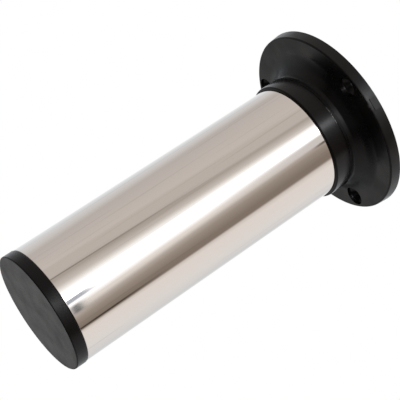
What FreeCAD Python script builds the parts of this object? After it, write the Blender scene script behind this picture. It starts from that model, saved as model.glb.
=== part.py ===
import FreeCAD, Part
import math
import os

# Adjustable cabinet leg: a plated tube between a screw-on mounting flange and a screw-in foot.
# Millimetres, +Z up, origin under the middle of the foot, with the foot screwed right in.

# Whole leg
LEG_HEIGHT = 150.0          # floor to mounting face
RUN_FIT = 0.05              # radial room between a turning or screwed piece and its hole
PRESS_FIT = 0.02            # radial room drawn where a piece is pressed in

# Tube
TUBE_OD = 50.0
TUBE_WALL = 1.0

# Mounting flange
FLANGE_THICK = 4.9          # height of the rim
FLANGE_REACH = 16.0         # how far the plate stands out from the neck
FLANGE_TAPER = 0.5          # the rim draws in this far towards the face
FLANGE_EDGE_BEVEL = 0.5     # on the rim's lower edge
FLANGE_RIM_WALL = 3.0       # ring round the hollowed back
FLANGE_SKIN = 2.4           # plate left under the hollowed back
NECK_STEP = 0.1             # how far the neck stands out from the tube's line
NECK_HEIGHT = 7.5           # from the collar to the plate's face
NECK_WALL = 2.5
NECK_FLOOR = 2.4
FLARE_HEIGHT = 4.9          # conical flare from the neck to the plate's face
FLARE_WIDTH = 5.2
SPIGOT_OD = 22.0            # screwed into the plug
SPIGOT_LENGTH = 14.0
SPIGOT_WALL = 3.8
SPIGOT_FLOOR = 2.5
FLANGE_RIBS = 6
FLANGE_RIB_THICK = 1.8
FLANGE_RIB_TURN = 30.0      # first rib from +X, in degrees, so that the ribs miss the holes

# Screw holes in the flange
HOLE_COUNT = 3
HOLE_TURN = -90.0           # first hole from +X, in degrees
HOLE_DIAMETER = 4.6
HOLE_MOUTH = 8.6            # countersink at the plate's face
HOLE_EDGE = 6.1             # hole centre to the flange's edge
HOLE_BOSS_WALL = 2.2        # plastic round the hole in the hollowed back

# Plug in the tube's top
COLLAR_STEP = 1.1           # how far the collar stands out from the tube
COLLAR_HEIGHT = 8.3
COLLAR_EDGE_BEVEL = 0.4
PLUG_DEPTH = 20.0           # skirt inside the tube
PLUG_WALL = 2.4
PLUG_SLEEVE_WALL = 2.6
PLUG_TOP_WEB = 2.6
PLUG_RIBS = 8
PLUG_RIB_THICK = 1.5

# Foot pad
PAD_HEIGHT = 4.8
PAD_STEP = 0.2              # how far the pad stands out from the tube
PAD_SEAT_GAP = 0.2          # pad to tube when screwed right in
PAD_EDGE_BEVEL = 0.4
PAD_FLOOR = 1.4
PAD_RIM_WALL = 2.0
PAD_BOSS_WALL = 3.0
PAD_RIBS = 8
PAD_RIB_THICK = 1.6
PAD_RIB_DROP = 0.8          # ribs end this far under the rim

# Threaded stud and its nut
STUD_DIAMETER = 10.0
STUD_LENGTH = 42.0
STUD_TIP_BEVEL = 1.0
STUD_HEAD_DIAMETER = 18.0
STUD_HEAD_HEIGHT = 2.2
NUT_ACROSS_FLATS = 17.0
NUT_HEIGHT = 8.0
NUT_CORNER_ANGLE = 30.0     # turned bevel on the nut's corners, in degrees

# Bush in the tube's bottom
BUSH_LENGTH = 20.0
BUSH_WALL = 2.0
BUSH_WEB = 3.0              # floor over the nut
BUSH_HUB_WALL = 2.4
BUSH_RIBS = 6
BUSH_RIB_THICK = 2.0
BUSH_RIB_TURN = 30.0        # first rib from +X, in degrees, at a flat of the nut
BUSH_STUD_ROOM = 0.3        # radial room round the stud above the nut
NUT_SINK = 0.5              # nut below the bush's mouth

# Levels, from the floor up
TUBE_LOW = PAD_HEIGHT + PAD_SEAT_GAP
FLANGE_FACE = LEG_HEIGHT - FLANGE_THICK
NECK_LOW = FLANGE_FACE - NECK_HEIGHT
TUBE_TOP = NECK_LOW - COLLAR_HEIGHT
NUT_LOW = TUBE_LOW + NUT_SINK
NUT_TOP = NUT_LOW + NUT_HEIGHT

# Radii
TUBE_R = TUBE_OD / 2
TUBE_BORE_R = TUBE_R - TUBE_WALL
PAD_R = TUBE_R + PAD_STEP
NECK_R = TUBE_R + NECK_STEP
FLANGE_R = NECK_R + FLANGE_REACH
HOLE_CIRCLE_R = FLANGE_R - HOLE_EDGE
SPIGOT_R = SPIGOT_OD / 2
STUD_R = STUD_DIAMETER / 2
STUD_HEAD_R = STUD_HEAD_DIAMETER / 2
NUT_CORNER_R = NUT_ACROSS_FLATS / 2 / math.cos(math.radians(30))

CENTRE = FreeCAD.Vector(0, 0, 0)
UP = FreeCAD.Vector(0, 0, 1)
FULL_TURN = 360


def at(radius, height):
    return FreeCAD.Vector(radius, 0, height)


def turned(corners):
    """Solid turned about the leg's axis from a closed outline of (radius, height) corners."""
    points = [at(radius, height) for radius, height in corners]
    outline = Part.makePolygon(points + points[:1])
    return Part.Face(outline).revolve(CENTRE, UP, FULL_TURN)


def disc(radius, low, high):
    return Part.makeCylinder(radius, high - low, at(0, low))


def ring(outer, inner, low, high):
    return disc(outer, low, high).cut(disc(inner, low, high))


def hexagon(across_flats, low, high):
    corner = across_flats / 2 / math.cos(math.radians(30))
    points = []
    for step in range(7):
        turn = math.radians(60 * step)
        points.append(FreeCAD.Vector(corner * math.cos(turn), corner * math.sin(turn), low))
    return Part.Face(Part.makePolygon(points)).extrude(UP * (high - low))


def spokes(count, thick, reach, low, high, first=0.0):
    """Ribs from the axis out to a radius, fused, the first at an angle from +X in degrees."""
    blades = []
    for step in range(count):
        blade = Part.makeBox(reach, thick, high - low, FreeCAD.Vector(0, -thick / 2, low))
        blade.rotate(CENTRE, UP, first + FULL_TURN * step / count)
        blades.append(blade)
    return blades[0].fuse(blades[1:])


def hole_places():
    """Centres of the screw holes."""
    places = []
    for step in range(HOLE_COUNT):
        turn = math.radians(HOLE_TURN + FULL_TURN * step / HOLE_COUNT)
        places.append((HOLE_CIRCLE_R * math.cos(turn), HOLE_CIRCLE_R * math.sin(turn)))
    return places


def flange_outside():
    """Spigot, neck, flare and plate, turned as one outline."""
    spigot_low = NECK_LOW - SPIGOT_LENGTH
    face_r = FLANGE_R - FLANGE_TAPER
    return turned([
        (0, spigot_low),
        (SPIGOT_R, spigot_low),
        (SPIGOT_R, NECK_LOW),
        (NECK_R, NECK_LOW),
        (NECK_R, FLANGE_FACE - FLARE_HEIGHT),
        (NECK_R + FLARE_WIDTH, FLANGE_FACE),
        (face_r - FLANGE_EDGE_BEVEL, FLANGE_FACE),
        (face_r, FLANGE_FACE + FLANGE_EDGE_BEVEL),
        (FLANGE_R, LEG_HEIGHT),
        (0, LEG_HEIGHT),
    ])


def mounting_flange():
    neck_core = ring(NECK_R - NECK_WALL, SPIGOT_R, NECK_LOW + NECK_FLOOR, LEG_HEIGHT)
    back_core = ring(FLANGE_R - FLANGE_RIM_WALL, NECK_R, FLANGE_FACE + FLANGE_SKIN, LEG_HEIGHT)
    core = neck_core.fuse(back_core)
    ribs = spokes(FLANGE_RIBS, FLANGE_RIB_THICK, FLANGE_R, NECK_LOW, LEG_HEIGHT, FLANGE_RIB_TURN)
    core = core.cut(ribs)
    boss_r = HOLE_DIAMETER / 2 + HOLE_BOSS_WALL
    sink_depth = (HOLE_MOUTH - HOLE_DIAMETER) / 2
    flange = flange_outside()
    holes = []
    for x, y in hole_places():
        core = core.cut(Part.makeCylinder(boss_r, LEG_HEIGHT, FreeCAD.Vector(x, y, 0)))
        holes.append(Part.makeCylinder(HOLE_DIAMETER / 2, LEG_HEIGHT, FreeCAD.Vector(x, y, 0)))
        sink = FreeCAD.Vector(x, y, FLANGE_FACE)
        holes.append(Part.makeCone(HOLE_MOUTH / 2, HOLE_DIAMETER / 2, sink_depth, sink))
    spigot_bore = disc(SPIGOT_R - SPIGOT_WALL, NECK_LOW - SPIGOT_LENGTH + SPIGOT_FLOOR, LEG_HEIGHT)
    return flange.cut([core, spigot_bore] + holes)


def top_plug():
    skirt_r = TUBE_BORE_R - PRESS_FIT
    collar_r = TUBE_R + COLLAR_STEP
    bore_r = SPIGOT_R + RUN_FIT
    low = TUBE_TOP - PLUG_DEPTH
    body = turned([
        (bore_r, low),
        (skirt_r, low),
        (skirt_r, TUBE_TOP),
        (collar_r - COLLAR_EDGE_BEVEL, TUBE_TOP),
        (collar_r, TUBE_TOP + COLLAR_EDGE_BEVEL),
        (collar_r, NECK_LOW),
        (bore_r, NECK_LOW),
    ])
    core_top = NECK_LOW - PLUG_TOP_WEB
    core = ring(skirt_r - PLUG_WALL, bore_r + PLUG_SLEEVE_WALL, low, core_top)
    core = core.cut(spokes(PLUG_RIBS, PLUG_RIB_THICK, TUBE_R, low, core_top))
    return body.cut(core)


def leg_tube():
    return ring(TUBE_R, TUBE_BORE_R, TUBE_LOW, TUBE_TOP)


def foot_bush():
    outer_r = TUBE_BORE_R - PRESS_FIT
    hub_r = NUT_CORNER_R + BUSH_HUB_WALL
    web_top = NUT_TOP + BUSH_WEB
    top = TUBE_LOW + BUSH_LENGTH
    body = turned([
        (0, TUBE_LOW),
        (outer_r, TUBE_LOW),
        (outer_r, top),
        (outer_r - BUSH_WALL, top),
        (outer_r - BUSH_WALL, web_top),
        (0, web_top),
    ])
    core = ring(outer_r - BUSH_WALL, hub_r, TUBE_LOW, NUT_TOP)
    core = core.cut(spokes(BUSH_RIBS, BUSH_RIB_THICK, outer_r, TUBE_LOW, NUT_TOP, BUSH_RIB_TURN))
    pocket = hexagon(NUT_ACROSS_FLATS + 2 * PRESS_FIT, TUBE_LOW, NUT_TOP)
    stud_way = disc(STUD_R + BUSH_STUD_ROOM, TUBE_LOW, web_top)
    return body.cut([core, pocket, stud_way])


def hex_nut():
    bevel_rise = (NUT_CORNER_R - NUT_ACROSS_FLATS / 2) * math.tan(math.radians(NUT_CORNER_ANGLE))
    bore_r = STUD_R + RUN_FIT
    blank = turned([
        (bore_r, NUT_LOW),
        (NUT_ACROSS_FLATS / 2, NUT_LOW),
        (NUT_CORNER_R, NUT_LOW + bevel_rise),
        (NUT_CORNER_R, NUT_TOP - bevel_rise),
        (NUT_ACROSS_FLATS / 2, NUT_TOP),
        (bore_r, NUT_TOP),
    ])
    return blank.common(hexagon(NUT_ACROSS_FLATS, NUT_LOW, NUT_TOP))


def adjusting_stud():
    head_low = PAD_FLOOR + RUN_FIT
    head_top = head_low + STUD_HEAD_HEIGHT
    tip = head_low + STUD_LENGTH
    return turned([
        (0, head_low),
        (STUD_HEAD_R, head_low),
        (STUD_HEAD_R, head_top),
        (STUD_R, head_top),
        (STUD_R, tip - STUD_TIP_BEVEL),
        (STUD_R - STUD_TIP_BEVEL, tip),
        (0, tip),
    ])


def foot_pad():
    body = turned([
        (0, 0),
        (PAD_R - PAD_EDGE_BEVEL, 0),
        (PAD_R, PAD_EDGE_BEVEL),
        (PAD_R, PAD_HEIGHT),
        (0, PAD_HEIGHT),
    ])
    boss_r = STUD_HEAD_R + RUN_FIT + PAD_BOSS_WALL
    hollow = ring(PAD_R - PAD_RIM_WALL, boss_r, PAD_FLOOR, PAD_HEIGHT)
    hollow = hollow.cut(spokes(PAD_RIBS, PAD_RIB_THICK, PAD_R, PAD_FLOOR, PAD_HEIGHT - PAD_RIB_DROP))
    head_seat = disc(STUD_HEAD_R + RUN_FIT, PAD_FLOOR, PAD_FLOOR + STUD_HEAD_HEIGHT + 2 * RUN_FIT)
    stud_way = disc(STUD_R + RUN_FIT, PAD_FLOOR, PAD_HEIGHT)
    return body.cut([hollow, head_seat, stud_way])


PIECES = [
    mounting_flange,
    top_plug,
    leg_tube,
    foot_bush,
    hex_nut,
    adjusting_stud,
    foot_pad,
]

os.makedirs("parts", exist_ok=True)
for make_piece in PIECES:
    piece = make_piece().removeSplitter()
    piece.exportStep(f"parts/{make_piece.__name__}.step")
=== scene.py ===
import math
import bmesh
import bpy
from mathutils import Matrix, Vector


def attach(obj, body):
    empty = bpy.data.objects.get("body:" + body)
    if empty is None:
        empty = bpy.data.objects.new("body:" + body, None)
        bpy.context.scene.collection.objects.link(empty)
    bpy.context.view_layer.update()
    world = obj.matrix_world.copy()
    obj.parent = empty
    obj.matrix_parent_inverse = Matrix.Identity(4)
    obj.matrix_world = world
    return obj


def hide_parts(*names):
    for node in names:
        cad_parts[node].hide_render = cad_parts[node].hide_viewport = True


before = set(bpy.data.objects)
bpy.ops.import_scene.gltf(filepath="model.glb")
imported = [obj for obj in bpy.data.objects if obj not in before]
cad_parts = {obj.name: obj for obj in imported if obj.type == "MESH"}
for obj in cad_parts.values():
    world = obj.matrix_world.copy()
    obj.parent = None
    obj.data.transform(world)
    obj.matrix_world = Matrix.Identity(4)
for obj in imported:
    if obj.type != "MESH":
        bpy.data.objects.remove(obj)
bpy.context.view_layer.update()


# Leg tube: welded steel tube, polished and bright chrome plated, cut square and deburred.
# The top plug and the foot bush are pressed into its two ends.
MM = 0.001                  # metres; the sizes of the pieces are in mm
TUBE_R = 25.0
TUBE_BORE_R = 24.0
TUBE_LOW = 5.0
TUBE_TOP = 129.3
TUBE_DEBURR = 0.25          # round left on the cut ends
TUBE_STEPS = 256
SAME_SPOT = 0.001           # points nearer than this are one
SHARP_EDGE = math.radians(40)


def pick(piece, kind, test):
    """Selects, in edit mode, the vertices, edges or faces whose middle in mm passes a test."""
    mesh = bmesh.from_edit_mesh(piece.data)
    bpy.ops.mesh.select_mode(type={"verts": "VERT", "edges": "EDGE", "faces": "FACE"}[kind])
    bpy.ops.mesh.select_all(action="DESELECT")
    for item in getattr(mesh, kind):
        ends = [item] if kind == "verts" else item.verts
        middle = sum((vert.co for vert in ends), Vector()) / len(ends) / MM
        item.select_set(test(middle))
    bmesh.update_edit_mesh(piece.data)


def outline(name, corners, rounds=(), closed=False):
    """Draws (radius, height) corners in mm by extruding one vertex, and rounds some of them.

    Each round is a corner, a radius in mm and a number of parts.
    """
    start_r, start_z = corners[0]
    bpy.ops.object.select_all(action="DESELECT")
    bpy.ops.mesh.primitive_plane_add(size=MM, location=(start_r * MM, 0, start_z * MM))
    piece = bpy.context.object
    piece.name = name
    piece.data.name = name
    bpy.ops.object.transform_apply(location=True)
    bpy.ops.object.mode_set(mode="EDIT")
    bpy.ops.mesh.merge(type="CENTER")
    for (r0, z0), (r1, z1) in zip(corners, corners[1:]):
        step = ((r1 - r0) * MM, 0, (z1 - z0) * MM)
        bpy.ops.mesh.extrude_vertices_move(TRANSFORM_OT_translate={"value": step})
    if closed:
        ends = [Vector((r, 0, z)) for r, z in (corners[0], corners[-1])]
        pick(piece, "verts", lambda co: min((co - end).length for end in ends) < SAME_SPOT)
        bpy.ops.mesh.edge_face_add()
    for corner, radius, parts in rounds:
        spot = Vector((corner[0], 0, corner[1]))
        pick(piece, "verts", lambda co: (co - spot).length < SAME_SPOT)
        bpy.ops.mesh.bevel(offset=radius * MM, segments=parts, affect="VERTICES")
    return piece


def turned(name, corners, rounds=(), closed=False, steps=192):
    """A piece turned about the leg's axis from its outline."""
    piece = outline(name, corners, rounds, closed)
    bpy.ops.mesh.select_all(action="SELECT")
    bpy.ops.mesh.spin(steps=steps, angle=2 * math.pi, center=(0, 0, 0), axis=(0, 0, 1))
    bpy.ops.mesh.select_all(action="SELECT")
    bpy.ops.mesh.remove_doubles(threshold=SAME_SPOT * MM)
    bpy.ops.mesh.normals_make_consistent(inside=False)
    bpy.ops.object.mode_set(mode="OBJECT")
    return piece


def choose(piece):
    """Makes a piece the only one selected, and the active one."""
    bpy.ops.object.select_all(action="DESELECT")
    piece.select_set(True)
    bpy.context.view_layer.objects.active = piece


def smooth(piece):
    """Smooth shading that keeps the sharp edges, with the broad faces ruling the normals."""
    choose(piece)
    bpy.ops.object.shade_smooth_by_angle(angle=SHARP_EDGE)
    weighted = piece.modifiers.new("weighted_normals", "WEIGHTED_NORMAL")
    weighted.keep_sharp = True
    bpy.ops.object.modifier_apply(modifier=weighted.name)


tube_corners = [
    (TUBE_BORE_R, TUBE_LOW),
    (TUBE_R, TUBE_LOW),
    (TUBE_R, TUBE_TOP),
    (TUBE_BORE_R, TUBE_TOP),
]
tube_rounds = [(corner, TUBE_DEBURR, 4) for corner in tube_corners]
tube = turned("chromed_tube", tube_corners, tube_rounds, closed=True, steps=TUBE_STEPS)
smooth(tube)


def linear(code):
    """Linear RGBA from an sRGB hex colour."""
    parts = [int(code[place:place + 2], 16) / 255 for place in (0, 2, 4)]
    return [c / 12.92 if c <= 0.04045 else ((c + 0.055) / 1.055) ** 2.4 for c in parts] + [1.0]


def add_node(tree, kind, inputs, **settings):
    """Adds a node, sets it up, and fills or links its inputs."""
    made = tree.nodes.new("ShaderNode" + kind)
    for name, value in settings.items():
        setattr(made, name, value)
    for name, value in inputs.items():
        if isinstance(value, bpy.types.NodeSocket):
            tree.links.new(value, made.inputs[name])
        else:
            made.inputs[name].default_value = value
    return made


# Bright chrome over polished steel: a mirror, with faint draw lines along the tube that break up
# its reflections a little, and a thin haze where it has been handled.
DRAW_LINE_WIDTH = 1.2       # mm round the tube; drawn coarse, real ones are about 0.1 mm
DRAW_LINE_LENGTH = 90.0     # mm along the tube
DRAW_LINE_DEPTH = 0.01      # mm
HAZE_PATCH = 14.0           # mm
CLEAN_ROUGHNESS = 0.03
HAZED_ROUGHNESS = 0.06
chrome = bpy.data.materials.new("bright_chrome_plate")
chrome.use_nodes = True
tree = chrome.node_tree
shader = tree.nodes["Principled BSDF"]
shader.inputs["Metallic"].default_value = 1.0
coords = add_node(tree, "TexCoord", {})
stretch = add_node(tree, "Mapping", {
    "Vector": coords.outputs["Object"],
    "Scale": (1 / (DRAW_LINE_WIDTH * MM), 1 / (DRAW_LINE_WIDTH * MM), 1 / (DRAW_LINE_LENGTH * MM)),
})
lines = add_node(tree, "TexNoise", {
    "Vector": stretch.outputs["Vector"],
    "Scale": 1.0,
    "Detail": 3.0,
})
haze = add_node(tree, "TexNoise", {
    "Vector": coords.outputs["Object"],
    "Scale": 1 / (HAZE_PATCH * MM),
    "Detail": 4.0,
})
streak = add_node(tree, "MapRange", {
    "Value": lines.outputs["Fac"],
    "From Min": 0.6,        # only the strongest lines darken
    "From Max": 0.7,
})
tint = add_node(tree, "Mix", {
    "Factor": streak.outputs["Result"],
    6: linear("E9E2DC"),
    7: linear("DFD8D2"),
}, data_type="RGBA")
tree.links.new(tint.outputs[2], shader.inputs["Base Color"])
dull = add_node(tree, "MapRange", {
    "Value": haze.outputs["Fac"],
    "From Min": 0.35,
    "From Max": 0.75,
    "To Min": CLEAN_ROUGHNESS,
    "To Max": HAZED_ROUGHNESS,
})
tree.links.new(dull.outputs["Result"], shader.inputs["Roughness"])
ripple = add_node(tree, "Bump", {
    "Height": lines.outputs["Fac"],
    "Strength": 0.08,
    "Distance": DRAW_LINE_DEPTH * MM,
})
tree.links.new(ripple.outputs["Normal"], shader.inputs["Normal"])
tube.data.materials.append(chrome)
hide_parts("leg_tube")
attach(tube, "leg")


# Foot bush: a ribbed plug moulded in black polypropylene and pressed into the tube's bottom.
# It holds the nut in a six-sided pocket; the part's own solid shows it as it is.

# Moulded black polypropylene: near black, with the fine grain of a spark-eroded mould that spreads
# its reflections into a soft grey sheen, cloudy patches where the mould is more worn, and pale
# specks on one spot of an edge: a rub, and on the collar partly a painted glint.
GRAIN = 0.5                 # mm; drawn coarse, the real grain is about 0.1 mm
GRAIN_DEPTH = 0.03          # mm
CLOUD = 9.0                 # mm
PALE_SPECK = 0.7             # mm
PLASTIC_IOR = 1.49


def black_moulding(name, gloss, finish, grain_strength, rub_and_glint):
    """Black polypropylene with its gloss, its roughness from and to, its grain and one pale spot.

    The spot is on an edge, a rub that on the collar is partly a painted glint: a radius, a height
    and a reach in mm, a bearing and a spread in degrees, and how pale it is painted.
    """
    spot_radius, spot_height, spot_reach, spot_bearing, spot_spread, spot_paleness = rub_and_glint
    plastic = bpy.data.materials.new(name)
    plastic.use_nodes = True
    tree = plastic.node_tree
    shader = tree.nodes["Principled BSDF"]
    shader.inputs["IOR"].default_value = PLASTIC_IOR
    shader.inputs["Specular IOR Level"].default_value = gloss
    coords = add_node(tree, "TexCoord", {})
    spot = coords.outputs["Object"]
    grain = add_node(tree, "TexNoise", {
        "Vector": spot,
        "Scale": 1 / (GRAIN * MM),
        "Detail": 3.0,
        "Roughness": 0.6,
    })
    cloud = add_node(tree, "TexNoise", {
        "Vector": spot,
        "Scale": 1 / (CLOUD * MM),
        "Detail": 5.0,
    })
    speck = add_node(tree, "TexNoise", {
        "Vector": spot,
        "Scale": 1 / (PALE_SPECK * MM),
        "Detail": 3.0,
    })
    axes = add_node(tree, "SeparateXYZ", {"Vector": spot})
    level = add_node(tree, "VectorMath", {0: spot, 1: (1, 1, 0)}, operation="MULTIPLY")
    radius = add_node(tree, "VectorMath", {0: level.outputs["Vector"]}, operation="LENGTH")
    section = add_node(tree, "CombineXYZ", {"X": radius.outputs["Value"], "Z": axes.outputs["Z"]})
    away = add_node(tree, "VectorMath", {
        0: section.outputs["Vector"],
        1: (spot_radius * MM, 0, spot_height * MM),
    }, operation="DISTANCE")
    edge = add_node(tree, "MapRange", {
        "Value": away.outputs["Value"],
        "From Min": 0.0,
        "From Max": spot_reach * MM,
        "To Min": 1.0,
        "To Max": 0.0,
    })
    bearing = add_node(tree, "Math", {
        0: axes.outputs["Y"],
        1: axes.outputs["X"],
    }, operation="ARCTAN2")
    turn = add_node(tree, "Math", {
        0: bearing.outputs["Value"],
        1: math.radians(spot_bearing),
    }, operation="SUBTRACT")
    aside = add_node(tree, "Math", {0: turn.outputs["Value"]}, operation="ABSOLUTE")
    near = add_node(tree, "MapRange", {
        "Value": aside.outputs["Value"],
        "From Min": 0.0,
        "From Max": math.radians(spot_spread),
        "To Min": 1.0,
        "To Max": 0.0,
    })
    speckled = add_node(tree, "MapRange", {
        "Value": speck.outputs["Fac"],
        "From Min": 0.4,
        "From Max": 0.6,
        "To Max": spot_paleness,
    })
    pale_spot_mask = add_node(tree, "Math", {
        0: edge.outputs["Result"],
        1: near.outputs["Result"],
    }, operation="MULTIPLY")
    pale_wear_and_glint = add_node(tree, "Math", {
        0: pale_spot_mask.outputs["Value"],
        1: speckled.outputs["Result"],
    }, operation="MULTIPLY")
    # pale specks on one edge spot: wear, and on the collar partly a painted glint
    black = add_node(tree, "Mix", {
        "Factor": cloud.outputs["Fac"],
        6: linear("040404"),
        7: linear("0E0B0B"),
    }, data_type="RGBA")
    tint = add_node(tree, "Mix", {
        "Factor": pale_wear_and_glint.outputs["Value"],
        6: black.outputs[2],
        7: linear("B4B2B0"),
    }, data_type="RGBA")
    tree.links.new(tint.outputs[2], shader.inputs["Base Color"])
    dull = add_node(tree, "MapRange", {
        "Value": cloud.outputs["Fac"],
        "From Min": 0.3,
        "From Max": 0.7,
        "To Min": finish[0],
        "To Max": finish[1],
    })
    tree.links.new(dull.outputs["Result"], shader.inputs["Roughness"])
    grained = add_node(tree, "Bump", {
        "Height": grain.outputs["Fac"],
        "Strength": grain_strength,
        "Distance": GRAIN_DEPTH * MM,
    })
    tree.links.new(grained.outputs["Normal"], shader.inputs["Normal"])
    return plastic


bush_plastic = black_moulding(
    "moulded_black_polypropylene",
    gloss=0.27,
    finish=(0.32, 0.42),
    grain_strength=0.25,
    rub_and_glint=(TUBE_BORE_R, TUBE_LOW, 1.0, -60, 30, 0.1),
)
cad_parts["foot_bush"].material_slots[0].material = bush_plastic


# Nut: a standard six-sided steel nut, zinc plated, dropped into the bush's pocket.
# The part's own solid shows it, with its turned corners.

# Bright zinc on steel: a pale bluish metal, satin, with a crystalline cloudiness from the bath.
SPANGLE = 1.5               # mm
ZINC_ROUGHNESS = (0.25, 0.4)
zinc = bpy.data.materials.new("zinc_plated_steel")
zinc.use_nodes = True
tree = zinc.node_tree
shader = tree.nodes["Principled BSDF"]
shader.inputs["Metallic"].default_value = 1.0
coords = add_node(tree, "TexCoord", {})
spangle = add_node(tree, "TexNoise", {
    "Vector": coords.outputs["Object"],
    "Scale": 1 / (SPANGLE * MM),
    "Detail": 4.0,
})
tint = add_node(tree, "Mix", {
    "Factor": spangle.outputs["Fac"],
    6: linear("B4B8BC"),
    7: linear("CDD0D0"),
}, data_type="RGBA")
tree.links.new(tint.outputs[2], shader.inputs["Base Color"])
dull = add_node(tree, "MapRange", {
    "Value": spangle.outputs["Fac"],
    "From Min": 0.3,
    "From Max": 0.7,
    "To Min": ZINC_ROUGHNESS[0],
    "To Max": ZINC_ROUGHNESS[1],
})
tree.links.new(dull.outputs["Result"], shader.inputs["Roughness"])
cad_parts["hex_nut"].material_slots[0].material = zinc


# Adjusting stud: a zinc plated steel stud with a flat round head, which the foot pad holds.
# Its thread is rolled, and runs in the nut to set the leg's height.
STUD_HEAD_R = 9.0
STUD_HEAD_LOW = 1.45
STUD_HEAD_TOP = 3.65
STUD_TIP = 43.45
STUD_HEAD_ROUND = 0.3
STUD_TIP_ROUND = 0.6
THREAD_R = 4.97             # crest, just inside the part's plain shank
THREAD_ROOT_R = 4.1
THREAD_PITCH = 1.5
THREAD_CREST = 0.2          # flat left on each crest
THREAD_GAP = 0.1            # left between the turns of the ridge, inside the core
THREAD_SINK = 0.2           # how far the ridge is let into the core
THREAD_STEPS = 64
JOIN_SCRAP = 0.002          # edges shorter than this are cleaned away after a join
stud = turned("adjusting_stud_threaded", [
    (0, STUD_HEAD_LOW),
    (STUD_HEAD_R, STUD_HEAD_LOW),
    (STUD_HEAD_R, STUD_HEAD_TOP),
    (THREAD_ROOT_R, STUD_HEAD_TOP),
    (THREAD_ROOT_R, STUD_TIP),
    (0, STUD_TIP),
], [
    ((STUD_HEAD_R, STUD_HEAD_LOW), STUD_HEAD_ROUND, 3),
    ((STUD_HEAD_R, STUD_HEAD_TOP), STUD_HEAD_ROUND, 3),
    ((THREAD_ROOT_R, STUD_TIP), STUD_TIP_ROUND, 2),
], steps=THREAD_STEPS)
ridge_width = THREAD_PITCH - THREAD_GAP
flank = (ridge_width - THREAD_CREST) / 2
ridge_low = STUD_HEAD_TOP + THREAD_PITCH
ridge = outline("thread_ridge", [
    (THREAD_ROOT_R - THREAD_SINK, ridge_low),
    (THREAD_R, ridge_low + flank),
    (THREAD_R, ridge_low + flank + THREAD_CREST),
    (THREAD_ROOT_R - THREAD_SINK, ridge_low + ridge_width),
], closed=True)
bpy.ops.object.mode_set(mode="OBJECT")
turns = int((STUD_TIP - ridge_low - THREAD_PITCH) / THREAD_PITCH)
screw = ridge.modifiers.new("screw", "SCREW")
screw.axis = "Z"
screw.angle = 2 * math.pi
screw.screw_offset = THREAD_PITCH * MM
screw.iterations = turns
screw.steps = THREAD_STEPS
screw.render_steps = THREAD_STEPS
bpy.ops.object.modifier_apply(modifier=screw.name)
bpy.ops.object.mode_set(mode="EDIT")
bpy.ops.mesh.select_all(action="SELECT")
bpy.ops.mesh.remove_doubles(threshold=SAME_SPOT * MM)
for end_low in (ridge_low, ridge_low + turns * THREAD_PITCH):
    pick(ridge, "verts", lambda co: co.x > 0 and abs(co.y) < SAME_SPOT
         and end_low - SAME_SPOT < co.z < end_low + ridge_width + SAME_SPOT)
    bpy.ops.mesh.edge_face_add()
bpy.ops.mesh.select_all(action="SELECT")
bpy.ops.mesh.normals_make_consistent(inside=False)
bpy.ops.object.mode_set(mode="OBJECT")


def combine(piece, other, how):
    """Cuts one mesh from another, or fuses the two, throws the second away and cleans the joins."""
    step = piece.modifiers.new("combine", "BOOLEAN")
    step.operation = how
    step.solver = "EXACT"
    step.object = other
    choose(piece)
    bpy.ops.object.modifier_apply(modifier=step.name)
    bpy.data.objects.remove(other)
    bpy.ops.object.mode_set(mode="EDIT")
    bpy.ops.mesh.select_all(action="SELECT")
    bpy.ops.mesh.remove_doubles(threshold=JOIN_SCRAP * MM)
    bpy.ops.mesh.dissolve_degenerate(threshold=JOIN_SCRAP * MM)
    bpy.ops.object.mode_set(mode="OBJECT")


combine(stud, ridge, "UNION")
smooth(stud)
stud.data.materials.clear()
stud.data.materials.append(zinc)
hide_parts("adjusting_stud")
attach(stud, "adjuster")


# Foot pad: a round shallow cup moulded in black polypropylene round the stud's head.
# It is turned by hand to screw the foot in or out; ribs inside stiffen its thin floor.
PAD_TOP = 4.8
PAD_FLOOR = 1.4
PAD_R = 25.2
PAD_RIM_R = 23.2
PAD_BOSS_R = 12.05
PAD_SEAT_R = 9.05
PAD_SEAT_TOP = 3.7
PAD_MOUTH_R = 5.05
PAD_EDGE_ROUND = 0.5
PAD_RIM_ROUND = 0.25
PAD_FLOOR_ROUND = 0.4
PAD_RIBS = 8
PAD_RIB_THICK = 1.6
PAD_RIB_TOP = 4.0
PAD_RIB_SINK = 0.5          # how far the ribs run into the floor
RIB_SINK = 1.0              # how far ribs run into the walls beside them


def blades(name, count, thick, inner, outer, low, high, first):
    """Radial ribs in one mesh: one blade shaped from a cube, then copied round the axis.

    Sizes are in mm, and the first blade's bearing is in degrees.
    """
    bpy.ops.object.select_all(action="DESELECT")
    middle = ((inner + outer) / 2 * MM, 0, (low + high) / 2 * MM)
    bpy.ops.mesh.primitive_cube_add(size=MM, location=middle)
    piece = bpy.context.object
    piece.name = name
    bpy.ops.transform.resize(value=(outer - inner, thick, high - low))
    bpy.ops.object.transform_apply(location=True, rotation=False, scale=True)
    bpy.ops.object.mode_set(mode="EDIT")
    bpy.ops.mesh.select_all(action="SELECT")
    for step in range(count):
        if step:
            bpy.ops.mesh.duplicate()
        angle = 2 * math.pi / count if step else math.radians(first)
        bpy.ops.transform.rotate(value=-angle, orient_axis="Z", center_override=(0, 0, 0))
    bpy.ops.object.mode_set(mode="OBJECT")
    return piece


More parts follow.
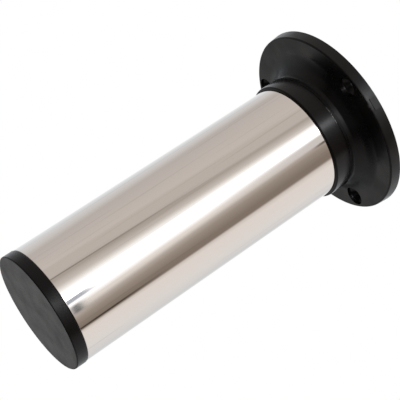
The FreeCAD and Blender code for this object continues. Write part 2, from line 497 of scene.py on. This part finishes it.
pad = turned("foot_pad_moulded", [
    (0, 0),
    (PAD_R, 0),
    (PAD_R, PAD_TOP),
    (PAD_RIM_R, PAD_TOP),
    (PAD_RIM_R, PAD_FLOOR),
    (PAD_BOSS_R, PAD_FLOOR),
    (PAD_BOSS_R, PAD_TOP),
    (PAD_MOUTH_R, PAD_TOP),
    (PAD_MOUTH_R, PAD_SEAT_TOP),
    (PAD_SEAT_R, PAD_SEAT_TOP),
    (PAD_SEAT_R, PAD_FLOOR),
    (0, PAD_FLOOR),
], [
    ((PAD_R, 0), PAD_EDGE_ROUND, 5),
    ((PAD_R, PAD_TOP), PAD_RIM_ROUND, 3),
    ((PAD_RIM_R, PAD_TOP), PAD_RIM_ROUND, 3),
    ((PAD_BOSS_R, PAD_TOP), PAD_RIM_ROUND, 3),
    ((PAD_BOSS_R, PAD_FLOOR), PAD_FLOOR_ROUND, 3),
    ((PAD_RIM_R, PAD_FLOOR), PAD_FLOOR_ROUND, 3),
])
pad_ribs = blades(
    "pad_ribs", PAD_RIBS, PAD_RIB_THICK,
    inner=PAD_BOSS_R - RIB_SINK,
    outer=PAD_RIM_R + RIB_SINK,
    low=PAD_FLOOR - PAD_RIB_SINK,
    high=PAD_RIB_TOP,
    first=0,
)
combine(pad, pad_ribs, "UNION")
smooth(pad)

# Grained black polypropylene: a broad soft sheen on the face, and faint pale specks on the rim
# towards the camera.
pad.data.materials.clear()
pad.data.materials.append(black_moulding(
    "grained_black_polypropylene",
    gloss=0.21,
    finish=(0.22, 0.36),
    grain_strength=0.08,
    rub_and_glint=(PAD_R, PAD_TOP, 5.0, -76, 16, 0.03),
))
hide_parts("foot_pad")
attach(pad, "foot")


# Top plug: moulded in black polypropylene and pressed into the tube's top up to its collar.
# Its sleeve has a coarse inside thread that the flange's spigot screws into.
COLLAR_R = 26.1
COLLAR_TOP = 137.6
COLLAR_GROOVE = 0.25        # the collar's top is set back this far at its edge
COLLAR_EDGE = 0.9           # width of that edge
COLLAR_ROUND = 0.8
COLLAR_TOP_ROUND = 0.15
PLUG_SKIRT_R = 23.98
PLUG_SKIRT_BORE_R = 21.58
PLUG_SLEEVE_R = 13.65
PLUG_BORE_R = 11.05
PLUG_LOW = 109.3
PLUG_WEB_LOW = 135.0
PLUG_LEAD_IN = 0.8          # round that starts the plug into the tube
PLUG_RIBS = 8
PLUG_RIB_THICK = 1.5
PLUG_RIB_LOW = 109.8        # the ribs end a little inside the sleeve and the skirt
plug = turned("top_plug_moulded", [
    (PLUG_BORE_R, PLUG_LOW),
    (PLUG_SLEEVE_R, PLUG_LOW),
    (PLUG_SLEEVE_R, PLUG_WEB_LOW),
    (PLUG_SKIRT_BORE_R, PLUG_WEB_LOW),
    (PLUG_SKIRT_BORE_R, PLUG_LOW),
    (PLUG_SKIRT_R, PLUG_LOW),
    (PLUG_SKIRT_R, TUBE_TOP),
    (COLLAR_R, TUBE_TOP),
    (COLLAR_R, COLLAR_TOP - COLLAR_GROOVE),
    (COLLAR_R - COLLAR_EDGE, COLLAR_TOP),
    (PLUG_BORE_R, COLLAR_TOP),
], [
    ((COLLAR_R, TUBE_TOP), COLLAR_ROUND, 5),
    ((COLLAR_R, COLLAR_TOP - COLLAR_GROOVE), COLLAR_TOP_ROUND, 3),
    ((PLUG_SKIRT_R, PLUG_LOW), PLUG_LEAD_IN, 3),
], closed=True)
plug_ribs = blades(
    "plug_ribs", PLUG_RIBS, PLUG_RIB_THICK,
    inner=PLUG_SLEEVE_R - RIB_SINK,
    outer=PLUG_SKIRT_BORE_R + RIB_SINK,
    low=PLUG_RIB_LOW,
    high=PLUG_WEB_LOW + RIB_SINK,
    first=0,
)
combine(plug, plug_ribs, "UNION")
smooth(plug)

# Smooth black polypropylene: clearer reflections round the collar, and pale specks on its top edge
# towards the camera, beside the highlight: partly a scuff, partly a painted glint.
plug.data.materials.clear()
plug.data.materials.append(black_moulding(
    "smooth_black_polypropylene",
    gloss=0.25,
    finish=(0.15, 0.23),
    grain_strength=0.1,
    # painted glint: pale specks at full strength on the collar's edge, on the camera's side
    rub_and_glint=(COLLAR_R, COLLAR_TOP - COLLAR_GROOVE, 0.6, -80, 11, 1.0),
))
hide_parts("top_plug")
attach(plug, "leg")


# Mounting flange: a round plate with a neck and a threaded spigot, moulded in black polypropylene.
# Three countersunk screws hold it to the cabinet, and the leg screws onto its spigot; the back is
# hollowed between ribs, so that it cools flat.
FLANGE_R = 41.1
FLANGE_FACE_R = 40.6
FLANGE_FACE = 145.1
FLANGE_TOP = 150.0
FLANGE_EDGE_ROUND = 0.7
NECK_R = 25.1
NECK_LOW = 137.6
NECK_GROOVE_TOP = 138.0
NECK_GROOVE_R = 24.6
NECK_ROUND = 0.2
FLARE_LOW = 140.2
FLARE_LOW_ROUND = 1.0
FLARE_R = 30.3
FLARE_ROUND = 3.0
SPIGOT_R = 11.0
SPIGOT_LOW = 123.6
SPIGOT_LEAD_IN = 1.0
SPIGOT_BORE_R = 7.2
SPIGOT_BORE_LOW = 126.1
NECK_CORE_R = 22.6
NECK_CORE_LOW = 140.0
BACK_CORE_R = 38.1
BACK_CORE_LOW = 147.5
BACK_ROUND = 0.3
FLANGE_RIBS = 6
FLANGE_RIB_THICK = 1.8
FLANGE_RIB_TURN = 30        # degrees; every other rib runs to a screw hole
HOLE_CIRCLE_R = 35.0
HOLE_R = 2.3
HOLE_MOUTH_R = 4.3
HOLE_RECESS = 1.6           # straight wall at the mouth, before the countersink
HOLE_BOSS_R = 4.5
HOLE_COUNT = 3
HOLE_STEPS = 64
GATE_TURN = -72.6           # where the plastic came in, trimmed flat on the rim
GATE_WIDE = 5.0
GATE_R = 40.97
GATE_LOW = 146.6
GATE_HIGH = 149.4
PAST = 1.0                  # cutters run past the surface by this much
flange = turned("mounting_flange_moulded", [
    (0, SPIGOT_LOW),
    (SPIGOT_R, SPIGOT_LOW),
    (SPIGOT_R, NECK_LOW),
    (NECK_GROOVE_R, NECK_LOW),
    (NECK_GROOVE_R, NECK_GROOVE_TOP),
    (NECK_R, NECK_GROOVE_TOP),
    (NECK_R, FLARE_LOW),
    (FLARE_R, FLANGE_FACE),
    (FLANGE_FACE_R, FLANGE_FACE),
    (FLANGE_R, FLANGE_TOP),
    (SPIGOT_BORE_R, FLANGE_TOP),
    (SPIGOT_BORE_R, SPIGOT_BORE_LOW),
    (0, SPIGOT_BORE_LOW),
], [
    ((SPIGOT_R, SPIGOT_LOW), SPIGOT_LEAD_IN, 3),
    ((NECK_R, NECK_GROOVE_TOP), NECK_ROUND, 3),
    ((NECK_R, FLARE_LOW), FLARE_LOW_ROUND, 6),
    ((FLARE_R, FLANGE_FACE), FLARE_ROUND, 8),
    ((FLANGE_FACE_R, FLANGE_FACE), FLANGE_EDGE_ROUND, 6),
    ((FLANGE_R, FLANGE_TOP), BACK_ROUND, 3),
    ((SPIGOT_BORE_R, FLANGE_TOP), BACK_ROUND, 3),
])
pocket_high = FLANGE_TOP + PAST
pockets = turned("back_pockets", [
    (SPIGOT_R, NECK_CORE_LOW),
    (NECK_CORE_R, NECK_CORE_LOW),
    (NECK_CORE_R, pocket_high),
    (SPIGOT_R, pocket_high),
], closed=True)
outer_pockets = turned("outer_pockets", [
    (NECK_R, BACK_CORE_LOW),
    (BACK_CORE_R, BACK_CORE_LOW),
    (BACK_CORE_R, pocket_high),
    (NECK_R, pocket_high),
], closed=True)
choose(pockets)
outer_pockets.select_set(True)
bpy.ops.object.join()
flange_ribs = blades(
    "flange_ribs", FLANGE_RIBS, FLANGE_RIB_THICK,
    inner=SPIGOT_R - PAST,
    outer=BACK_CORE_R + PAST,
    low=NECK_CORE_LOW - PAST,
    high=pocket_high + PAST,
    first=FLANGE_RIB_TURN,
)
combine(pockets, flange_ribs, "DIFFERENCE")


def at_holes(piece):
    """Moves a piece on the axis to the first screw hole, and copies it to the others."""
    choose(piece)
    bpy.ops.object.mode_set(mode="EDIT")
    bpy.ops.mesh.select_all(action="SELECT")
    bpy.ops.transform.translate(value=(0, -HOLE_CIRCLE_R * MM, 0))
    for step in range(HOLE_COUNT - 1):
        bpy.ops.mesh.duplicate()
        turn = 2 * math.pi / HOLE_COUNT
        bpy.ops.transform.rotate(value=-turn, orient_axis="Z", center_override=(0, 0, 0))
    bpy.ops.object.mode_set(mode="OBJECT")


bosses = turned("screw_bosses", [
    (0, FLANGE_FACE),
    (HOLE_BOSS_R, FLANGE_FACE),
    (HOLE_BOSS_R, pocket_high + PAST),
    (0, pocket_high + PAST),
], steps=HOLE_STEPS)
at_holes(bosses)
combine(pockets, bosses, "DIFFERENCE")
combine(flange, pockets, "DIFFERENCE")
sink_depth = HOLE_MOUTH_R - HOLE_R
holes = turned("screw_holes", [
    (0, FLANGE_FACE - HOLE_RECESS - PAST),
    (HOLE_MOUTH_R, FLANGE_FACE - HOLE_RECESS - PAST),
    (HOLE_MOUTH_R, FLANGE_FACE + HOLE_RECESS),
    (HOLE_R, FLANGE_FACE + HOLE_RECESS + sink_depth),
    (HOLE_R, pocket_high),
    (0, pocket_high),
], steps=HOLE_STEPS)
at_holes(holes)
combine(flange, holes, "DIFFERENCE")
gate = blades(
    "gate_mark", 1, GATE_WIDE,
    inner=FLANGE_FACE_R - PAST,
    outer=GATE_R,
    low=GATE_LOW,
    high=GATE_HIGH,
    first=GATE_TURN,
)
combine(flange, gate, "UNION")
smooth(flange)

# Satin black polypropylene: cloudy, half-clear reflections, and a faint rub on the rim's edge.
flange.data.materials.clear()
flange.data.materials.append(black_moulding(
    "satin_black_polypropylene",
    gloss=0.30,
    finish=(0.21, 0.40),
    grain_strength=0.15,
    rub_and_glint=(FLANGE_FACE_R, FLANGE_FACE, 1.5, -72, 3, 0.1),
))
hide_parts("mounting_flange")
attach(flange, "leg")


# Studio: the leg hangs in a cloth tent with a lamp beside the camera, above a plain pale floor.
# The chrome and the plastic mirror the tent and what stands in it. The floor stays out of the
# reflections, and the camera sees plain white behind the leg.
FLOOR_DROP = 0.6            # metres under the foot
FLOOR_SPAN = 60.0           # metres
bpy.ops.object.select_all(action="DESELECT")
bpy.ops.mesh.primitive_plane_add(size=FLOOR_SPAN, location=(0, 0, -FLOOR_DROP))
floor = bpy.context.object
floor.name = "studio_floor"
floor.visible_glossy = False
# Pale matt paper: even, with no shine.
paper = bpy.data.materials.new("pale_matt_paper")
paper.use_nodes = True
shader = paper.node_tree.nodes["Principled BSDF"]
shader.inputs["Base Color"].default_value = linear("F4F3F1")
shader.inputs["Roughness"].default_value = 0.9
floor.data.materials.append(paper)

VIEW_TURN = math.radians(11)            # the camera stands this far round from the first screw hole
TENT = [                                # degrees round from the camera, colour, brightness
    # white cloth behind and to the left, in shade towards the front
    (-180, "FFFFFF", 1.0),
    (-150, "E6ECF1", 1.0),
    (-118, "D8D7D7", 1.0),
    (-104, "C6C2C0", 1.0),
    (-61, "D2CDC9", 1.0),
    # grey cloth beside the lamp
    (-57, "CAC4BE", 1.0),
    (-39, "CAC4BF", 1.0),
    (-34, "B4ADA6", 1.0),
    # lamp beside the camera, behind cloth that spreads its edges
    (-20, "D5D1CD", 1.0),
    (-14, "F6F6F4", 1.0),
    (-9, "FAFCFF", 1.25),
    (-4, "FAFCFF", 1.7),
    (1, "FAFCFF", 6.0),
    (10, "FAFCFF", 6.0),
    (17, "FAFCFF", 1.7),
    (23, "FAFCFF", 1.3),
    (28, "FBF9F7", 1.0),
    (33, "EEEAE6", 1.0),
    # brown board
    (39, "C2BBB5", 1.0),
    (47, "A69C93", 1.0),
    (62, "8B8077", 1.0),
    (68, "8B8077", 1.0),
    # white cloth to the right
    (70.6, "E0DAD6", 1.0),
    (76, "F1EDEB", 1.0),
    (110, "EEEEEE", 1.0),
    (155, "DADEE2", 1.0),
    (180, "FFFFFF", 1.0),
]
TENT_FALL = [                           # degrees above the horizon, colour, brightness
    # dark where the tent is open at the bottom
    (-90, "1E1E1E", 1.0),
    (-54, "2E2E2E", 1.0),
    # shaded cloth up to the horizon, full light above it
    (-40, "CECAC8", 1.0),
    (-29, "CECAC8", 1.0),
    (-13, "B6B6B6", 1.0),
    (1, "A8A8A8", 1.0),
    (12, "FFFFFF", 1.0),
    (90, "FFFFFF", 1.0),
]
LEAN_FROM = math.radians(14)            # between these heights the cloths lean over sideways
LEAN_TO = math.radians(28)
LEAN = math.radians(11)
LEAN_SWING = 2.5                        # no lean in front, most 36 degrees round, none at 72
# Stands, panels and small things in the tent, and one patch of painted shade, with their sides and
# ends blurred: the bearing, half width, foot, head and fade at the ends in degrees, and the colour.
POSTS_AND_PAINTED_SHADE = [
    (-36.5, 0.7, 5.0, 24.0, 8.0, "978F87"),
    (13, 2.8, 8.0, 16.6, 1.4, "B9C2CF"),
    (30, 5.0, 14.1, 14.9, 0.3, "36424A"),
    (29, 5.5, 21.5, 60.0, 6.0, "DCDADA"),
    (65.5, 1.0, 8.0, 19.0, 3.0, "4A423C"),
    (40, 1.5, 27.2, 60.0, 0.4, "6E6660"),
    # painted shade: a grey patch low behind the leg, seen only in reflections, darkens the flange's
    # face
    (160, 10.0, -14.0, 9.0, 8.0, "686868"),
]
world = bpy.data.worlds.new("studio_tent")
bpy.context.scene.world = world
world.use_nodes = True
tree = world.node_tree
tree.nodes.clear()
coords = add_node(tree, "TexCoord", {})
faced = add_node(tree, "Mapping", {
    "Vector": coords.outputs["Generated"],
    "Rotation": (0, 0, math.pi / 2 - VIEW_TURN),
})
axes = add_node(tree, "SeparateXYZ", {"Vector": faced.outputs["Vector"]})
bearing = add_node(tree, "Math", {
    0: axes.outputs["Y"],
    1: axes.outputs["X"],
}, operation="ARCTAN2")
upright = add_node(tree, "Math", {0: axes.outputs["Z"]}, operation="ARCSINE")
lean = add_node(tree, "MapRange", {
    "Value": upright.outputs["Value"],
    "From Min": LEAN_FROM,
    "From Max": LEAN_TO,
    "To Max": LEAN,
})
swing = add_node(tree, "Math", {
    0: bearing.outputs["Value"],
    1: LEAN_SWING,
}, operation="MULTIPLY")
side = add_node(tree, "Math", {0: swing.outputs["Value"]}, operation="SINE")
leant = add_node(tree, "Math", {
    0: side.outputs["Value"],
    1: lean.outputs["Result"],
    2: bearing.outputs["Value"],
}, operation="MULTIPLY_ADD")
across = add_node(tree, "MapRange", {
    "Value": leant.outputs["Value"],
    "From Min": -math.pi,
    "From Max": math.pi,
})
rise = add_node(tree, "MapRange", {
    "Value": upright.outputs["Value"],
    "From Min": -math.pi / 2,
    "From Max": math.pi / 2,
})
panels = add_node(tree, "ValToRGB", {"Fac": across.outputs["Result"]})
fall = add_node(tree, "ValToRGB", {"Fac": rise.outputs["Result"]})
for ramp, span, tones in ((panels, 360, TENT), (fall, 180, TENT_FALL)):
    stops = ramp.color_ramp.elements
    while len(stops) > 1:
        stops.remove(stops[-1])
    for number, (degrees, code, bright) in enumerate(tones):
        place = 0.5 + degrees / span
        stop = stops[0] if number == 0 else stops.new(place)
        stop.position = place
        stop.color = [part * bright for part in linear(code)[:3]] + [1.0]
colours = panels.outputs["Color"]
for *degrees, code in POSTS_AND_PAINTED_SHADE:
    middle, half, low, high, fade = (math.radians(value) for value in degrees)
    off = add_node(tree, "Math", {0: leant.outputs["Value"], 1: middle}, operation="SUBTRACT")
    apart = add_node(tree, "Math", {0: off.outputs["Value"]}, operation="ABSOLUTE")
    beside = add_node(tree, "MapRange", {
        "Value": apart.outputs["Value"],
        "From Min": half,
        "From Max": half * 2,
        "To Min": 1.0,
        "To Max": 0.0,
    })
    height = add_node(tree, "Math", {
        0: upright.outputs["Value"],
        1: (low + high) / 2,
    }, operation="SUBTRACT")
    reach = add_node(tree, "Math", {0: height.outputs["Value"]}, operation="ABSOLUTE")
    within = add_node(tree, "MapRange", {
        "Value": reach.outputs["Value"],
        "From Min": (high - low) / 2 - fade,
        "From Max": (high - low) / 2,
        "To Min": 1.0,
        "To Max": 0.0,
    })
    here = add_node(tree, "Math", {
        0: beside.outputs["Result"],
        1: within.outputs["Result"],
    }, operation="MULTIPLY")
    colours = add_node(tree, "Mix", {
        "Factor": here.outputs["Value"],
        6: colours,
        7: linear(code),
    }, data_type="RGBA").outputs[2]
walls = add_node(tree, "Mix", {
    "Factor": 1.0,
    6: colours,
    7: fall.outputs["Color"],
}, data_type="RGBA", blend_type="MULTIPLY")
path = add_node(tree, "LightPath", {})
seen = add_node(tree, "Mix", {
    "Factor": path.outputs["Is Camera Ray"],
    6: walls.outputs[2],
    7: linear("FFFFFF"),
}, data_type="RGBA")
tent = add_node(tree, "Background", {"Color": seen.outputs[2], "Strength": 1.0})
add_node(tree, "OutputWorld", {"Surface": tent.outputs["Background"]})

# Camera: below the foot and looking up at the leg, rolled so that the flange is to the upper right.
camera = bpy.data.objects.new("camera", bpy.data.cameras.new("camera"))
bpy.context.scene.collection.objects.link(camera)
bpy.context.scene.camera = camera
camera.data.sensor_width = 36.0         # mm
camera.data.lens = 115.6                # mm
CAMERA_OUT = 0.47726                    # metres from the leg's axis
CAMERA_LOW = -0.10963                   # metres, under the foot
CAMERA_SWING = 0.0039                   # radians to the left of the axis
CAMERA_TILT = 0.379                     # radians up
CAMERA_ROLL = -0.984                    # radians about its own line of sight
round_leg = Matrix.Rotation(VIEW_TURN, 3, "Z")
aim = Matrix.Rotation(CAMERA_SWING, 3, "Z") @ Matrix.Rotation(CAMERA_TILT, 3, "X")
ahead = aim @ Vector((0, 1, 0))
aim = Matrix.Rotation(CAMERA_ROLL, 3, ahead) @ aim
right, ahead, up = (
    round_leg @ aim @ Vector(axis) for axis in ((1, 0, 0), (0, 1, 0), (0, 0, 1))
)
place = round_leg @ Vector((0, -CAMERA_OUT, CAMERA_LOW))
camera.matrix_world = Matrix([
    (right.x, up.x, -ahead.x, place.x),
    (right.y, up.y, -ahead.y, place.y),
    (right.z, up.z, -ahead.z, place.z),
    (0, 0, 0, 1),
])
bpy.context.scene.view_settings.view_transform = "Standard"
